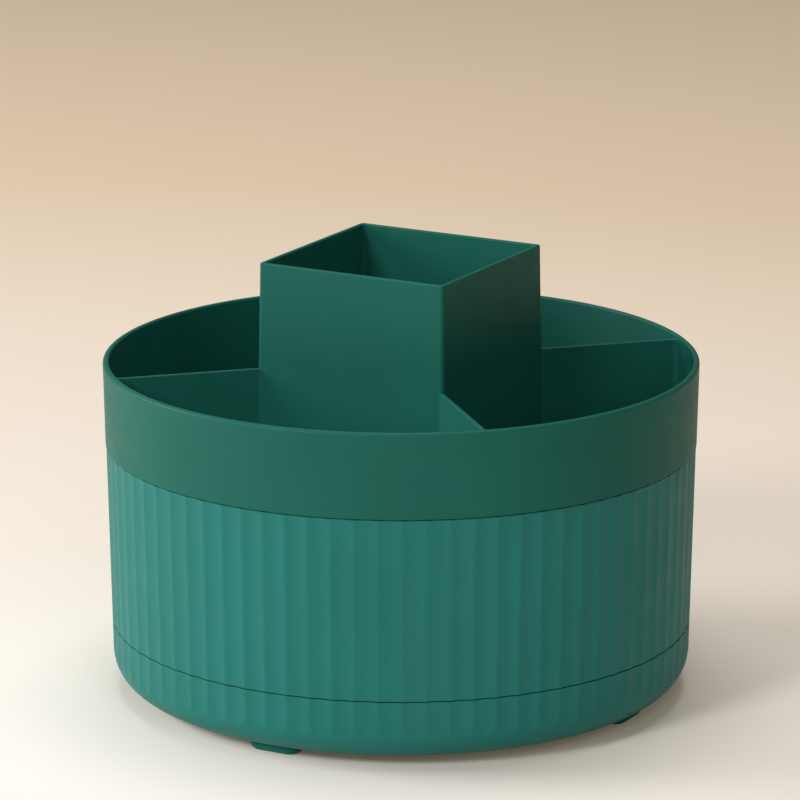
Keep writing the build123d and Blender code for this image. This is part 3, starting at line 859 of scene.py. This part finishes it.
def studio_sweep():
    profile = [(SWEEP_FRONT, 0.0), (SWEEP_BACK - SWEEP_RADIUS, 0.0)]
    for step in range(1, SWEEP_STEPS + 1):
        turn = math.pi / 2 * step / SWEEP_STEPS
        across = SWEEP_BACK - SWEEP_RADIUS + SWEEP_RADIUS * math.sin(turn)
        profile.append((across, SWEEP_RADIUS - SWEEP_RADIUS * math.cos(turn)))
    profile.append((SWEEP_BACK, SWEEP_HEIGHT))
    side = SWEEP_WIDTH / 2
    sweep = shaped("studio_sweep", [[[(-side, y, z), (side, y, z)] for y, z in profile]])
    sweep.data.shade_smooth()
    sweep.rotation_euler = (0.0, 0.0, CAMERA_BEARING)
    material, tree, shader = new_material("sweep_paper")
    shader.inputs["Specular IOR Level"].default_value = PAPER_GLOSS
    # painted pool of light on the floor, paler by the object
    painted_light_pool(tree, shader)
    fibres = noise(tree, FLOW_SCALE, PAPER_DETAIL)
    vary_roughness(tree, shader, fibres, PAPER_ROUGHNESS, PAPER_ROUGHNESS_SWING)
    shader.inputs["Emission Color"].default_value = (*SWEEP_GLOW, 1.0)
    tree.links.new(seen_plainly(tree), shader.inputs["Emission Strength"])
    sweep.data.materials.append(material)


def softbox(name, bearing, distance, height, size, watts):
    """Round soft lamp at a bearing from the camera's side, aimed at the object."""
    lamp = bpy.data.lights.new(name, "AREA")
    lamp.shape = "DISK"
    lamp.size = size
    lamp.energy = watts
    box = bpy.data.objects.new(name, lamp)
    bpy.context.scene.collection.objects.link(box)
    angle = CAMERA_BEARING + math.radians(bearing)
    box.location = (distance * math.sin(angle), -distance * math.cos(angle), height)
    box.rotation_euler = (AIM - box.location).to_track_quat("-Z", "Y").to_euler()


def photo_camera():
    camera = bpy.data.objects.new("photo_camera", bpy.data.cameras.new("photo_camera"))
    camera.data.lens = CAMERA_LENS_MM
    camera.data.sensor_width = CAMERA_SENSOR_MM
    right = Vector((math.cos(CAMERA_BEARING), math.sin(CAMERA_BEARING), 0.0))
    back = Vector((math.sin(CAMERA_BEARING), -math.cos(CAMERA_BEARING), 0.0))
    camera.location = back * CAMERA_DISTANCE + right * CAMERA_ASIDE
    camera.location.z = RIM_Z + CAMERA_OVER_RIM
    camera.rotation_euler = (math.pi / 2 - CAMERA_PITCH, 0.0, CAMERA_BEARING)
    bpy.context.scene.collection.objects.link(camera)
    bpy.context.scene.camera = camera


def studio_air():
    world = bpy.data.worlds.new("studio_air")
    bpy.context.scene.world = world
    world.use_nodes = True
    background = world.node_tree.nodes["Background"]
    background.inputs["Color"].default_value = (*WORLD_COLOUR, 1.0)
    background.inputs["Strength"].default_value = WORLD_STRENGTH


tray_plastic = moulded_plastic("tray_plastic", TRAY_GREEN, SATIN_ROUGHNESS, TRAY_GLOSS)
body_plastic = moulded_plastic("body_plastic", BODY_GREEN, SATIN_ROUGHNESS, BODY_GLOSS)
bearing_plastic = moulded_plastic(
    "bearing_plastic", BEARING_WHITE, BEARING_ROUGHNESS, BEARING_GLOSS
)
foot_rubber = soft_rubber("foot_rubber", FOOT_GREEN)
zinc_steel = plated_steel("zinc_steel", ZINC_GREY, ZINC_ROUGHNESS, ZINC_COLOUR_SWING, ZINC_GRAIN)
ball_steel = plated_steel("ball_steel", BALL_GREY, BALL_ROUGHNESS, BALL_COLOUR_SWING, BALL_GRAIN)
tray_moulding(tray_plastic)
shell_moulding(body_plastic)
base_moulding(body_plastic)
foot_pads(foot_rubber)
dress(body_plastic, "turntable_plate", "hub_cap")
dress(bearing_plastic, "lower_race", "upper_race", "ball_cage", "pivot_bush")
dress(zinc_steel, "spindle", "thrust_washer", "lock_nut")
dress(zinc_steel, "lower_race_screws", "upper_race_screws", "plate_screws")
dress(ball_steel, "bearing_balls")

studio_sweep()
for lamp_name, lamp_values in LAMPS.items():
    softbox(lamp_name, **lamp_values)
photo_camera()
studio_air()
bpy.context.scene.view_settings.view_transform = "Standard"
